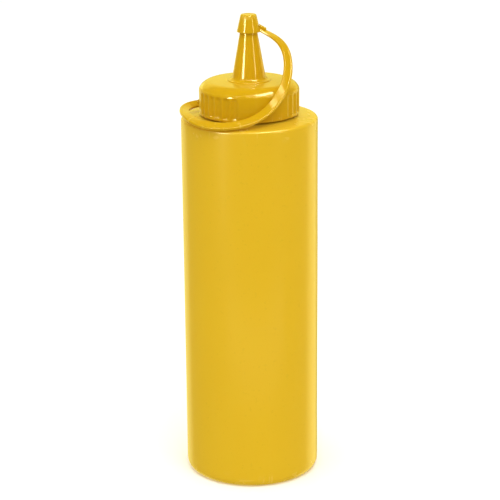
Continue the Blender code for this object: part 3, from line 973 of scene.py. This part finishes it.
# %% Make the strap, its cap lug, and put the cap together
strap = settled(strap_path("tether_ribbon"), make_ribbon_tree(), {
    "Width": STRAP_WIDTH, "Thickness": STRAP_THICK, "Edge radius": 0.3 * MM, "Edge steps": 4,
    "Bead radius": 0.85 * MM, "Material": CAP_PLASTIC,
})
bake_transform(strap)
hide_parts("tether_strap")

strap_root = Vector(STRAP_STATIONS[0][0]) * MM
cap_out = Vector((strap_root.x, strap_root.y, 0.0)).normalized()
lug_root = cap_out * (CAP_R - 0.6 * MM)
lug_root.z = strap_root.z + STRAP_THICK / 2
add_gusset(cap_shell, lug_root, cap_out, reach=3.2 * MM, height=3.4 * MM, width=2.4 * MM)
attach(cap_shell, "cap_body")
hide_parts("screw_cap")

# %% [markdown]
# ## The tip cap
# A hollow cone that slips over the nozzle. A short plug inside its roof enters the orifice, and a
# gusset joins it to the strap's end.

# %% Profile and mesh of the tip cap
TIP_TOP_R = 3.95 * MM
TIP_DISH = 0.15 * MM
TIP_ROOF = 1.2 * MM
PLUG_R, PLUG_LENGTH = 1.3 * MM, 2.2 * MM
SLIP = 0.3 * MM  # the gap all round the nozzle


def tip_r(z):
    """Outer radius of the tip cap at a height."""
    share = (z - TIP_BOTTOM_Z) / (TIP_TOP_Z - TIP_BOTTOM_Z)
    return TIP_BOTTOM_R + share * (TIP_TOP_R - TIP_BOTTOM_R)


def tip_profile():
    roof_z, dish_z = TIP_TOP_Z - TIP_ROOF, TIP_TOP_Z - TIP_DISH
    corners = [(0.0, dish_z, 0), (TIP_TOP_R - 1.3 * MM, dish_z, 0.3 * MM)]
    corners += [(TIP_TOP_R - 0.9 * MM, TIP_TOP_Z, 0.2 * MM), (TIP_TOP_R, TIP_TOP_Z, 0.7 * MM)]
    corners += [(TIP_BOTTOM_R, TIP_BOTTOM_Z, 0.25 * MM)]
    corners += [(nozzle_r(TIP_BOTTOM_Z) + SLIP, TIP_BOTTOM_Z, 0.2 * MM)]
    corners += [(nozzle_r(roof_z) + SLIP, roof_z, 0.3 * MM), (PLUG_R, roof_z, 0.2 * MM)]
    corners += [(PLUG_R - 0.2 * MM, roof_z - PLUG_LENGTH, 0.2 * MM), (0.0, roof_z - PLUG_LENGTH, 0)]
    return divided(rounded(corners), 1.5 * MM)


TIP_COLUMNS = 160
tip_shell = as_object("tip_shell", lathe(tip_profile(), even_angles(TIP_COLUMNS)), CAP_PLASTIC)
tip_end = Vector(STRAP_STATIONS[-1][0]) * MM
tip_root = Vector((tip_r(tip_end.z) - 0.5 * MM, 0.0, tip_end.z + STRAP_THICK / 2))
add_gusset(tip_shell, tip_root, (1, 0, 0), reach=3.6 * MM, height=2.6 * MM, width=2.0 * MM)
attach(tip_shell, "tip_body")
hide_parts("tip_cap")

# %% [markdown]
# ## The sealing ring
# It lies between the neck's rim and the cap's roof, and only shows when the cap is off.

# %% Make the sealing ring
SEAL_IN_R = 20.0 * MM
SEAL_EDGE = 0.25 * MM
SEAL_COLUMNS = 200
seal_corners = [(SEAL_IN_R, SEAL_TOP_Z, SEAL_EDGE), (SEAL_OUT_R, SEAL_TOP_Z, SEAL_EDGE)]
seal_corners += [(SEAL_OUT_R, SEAL_BOTTOM_Z, SEAL_EDGE), (SEAL_IN_R, SEAL_BOTTOM_Z, SEAL_EDGE)]
seal_mesh = lathe(rounded(seal_corners, steps=4), even_angles(SEAL_COLUMNS), closed=True)
seal_shell = as_object("seal_shell", seal_mesh, SEAL_FOAM)
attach(seal_shell, "seal_body")
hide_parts("sealing_ring")

# %% [markdown]
# ## Floor and light
# The setting is a white table in a bright, even room, so that the plastic's own colour shows. Lamps
# that only draw stripes on the glossy parts are hidden from diffuse light, which keeps the body's
# colour even. Three things here are unlike a real room, because white light off a table and walls
# makes the plastic's edges and tops look white:
#
# - The table is there for the camera only. It shows in no reflection, throws no light onto the bottle
#   and shades nothing. A faint lamp low in front of the bottle stands in for the light off it.
# - Reflections see a room that is dimmer and warmer than the one behind the bottle.
# - Two warm panels behind the bottle, which reach below the table's level, light its sides.

# %% Floor
def make_floor_material():
    material, tree, shader = new_material("white_table", Roughness=0.6)
    haze = grain(tree, object_place(tree), 3.0, 2.0)
    white = between(tree, haze, (0.97, 0.97, 0.97, 1.0), (0.99, 0.99, 0.99, 1.0))
    tree.links.new(white, shader.inputs["Base Color"])
    return material


FLOOR_SIZE = 12.0
floor_mesh = bmesh.new()
bmesh.ops.create_grid(floor_mesh, x_segments=1, y_segments=1, size=FLOOR_SIZE / 2)
floor = as_object("floor", floor_mesh, make_floor_material())
floor.visible_glossy = False
floor.visible_diffuse = False
floor.visible_shadow = False

# %% World
ROOM_LIGHT, ROOM_IN_GLOSS = 0.9, 0.15
ROOM_COLOR, ROOM_COLOR_IN_GLOSS = (1.0, 1.0, 1.0, 1.0), (1.0, 0.85, 0.4, 1.0)

world = bpy.data.worlds.new("bright_room")
world.use_nodes = True
room = world.node_tree
backdrop = room.nodes["Background"]
glossy_ray = add(room, "ShaderNodeLightPath").outputs["Is Glossy Ray"]
strength = calc(room, "MULTIPLY_ADD", glossy_ray, ROOM_IN_GLOSS - ROOM_LIGHT, ROOM_LIGHT)
room.links.new(between(room, glossy_ray, ROOM_COLOR, ROOM_COLOR_IN_GLOSS), backdrop.inputs["Color"])
room.links.new(strength, backdrop.inputs["Strength"])
bpy.context.scene.world = world
bpy.context.scene.view_settings.view_transform = "Standard"


# %% Lamps, placed by their direction from the bottle: azimuth 0 is towards the camera, + is right
LAMP_CENTRE = Vector((0.0, 0.0, 0.2))
WARM, YELLOW = (1.0, 0.9, 0.34), (1.0, 0.95, 0.2)


def lamp(name, azimuth, elevation, distance, width, height, power, stripes_only=False, color=(1, 1, 1)):
    """An area lamp that faces the centre: angles in degrees, sizes in metres, power in watts."""
    data = bpy.data.lights.new(name, "AREA")
    data.shape = "RECTANGLE"
    data.size = width
    data.size_y = height
    data.energy = power
    data.color = color
    obj = placed(name, data)
    turn, rise = math.radians(azimuth), math.radians(elevation)
    way = Vector((math.sin(turn) * math.cos(rise), -math.cos(turn) * math.cos(rise), math.sin(rise)))
    obj.location = LAMP_CENTRE + way * distance
    obj.rotation_euler = way.to_track_quat("Z", "Y").to_euler()
    obj.visible_diffuse = not stripes_only
    obj.visible_camera = False
    print(f"{name}: {power:.1f} W")


lamp("key_box", 20, 55, 1.2, 0.7, 0.5, 4.0)
lamp("front_bar", -22, 47, 1.2, 1.8, 0.16, 14.0, stripes_only=True)
lamp("right_bar", 58, 60, 1.2, 0.8, 0.3, 24.0, stripes_only=True)
lamp("left_stripe", -44, 8, 1.0, 0.18, 0.4, 12.0, stripes_only=True)
lamp("right_stripe", 50, 8, 1.0, 0.10, 0.4, 2.0, stripes_only=True)
lamp("right_panel", 132, -23, 1.0, 0.6, 1.4, 3.9, color=WARM)
lamp("left_panel", -150, -23, 1.0, 0.6, 1.4, 2.8, color=WARM)
lamp("low_fill", 8, -44, 0.27, 0.4, 0.06, 0.05)
lamp("back_panel", 180, 20, 1.5, 2.4, 1.0, 8.0, stripes_only=True, color=YELLOW)

# %% A broad soft light from the ceiling, which tops of things catch more than their sides do
CEILING_LIGHT = 0.9
CEILING_COLOR = (0.9, 1.0, 0.88)
CEILING_BREADTH = math.radians(70.0)
CEILING_LEAN = (math.radians(10.0), math.radians(-14.0), 0.0)

ceiling_data = bpy.data.lights.new("ceiling", "SUN")
ceiling_data.energy = CEILING_LIGHT
ceiling_data.color = CEILING_COLOR
ceiling_data.angle = CEILING_BREADTH
ceiling = placed("ceiling", ceiling_data)
ceiling.rotation_euler = CEILING_LEAN
ceiling.visible_glossy = False
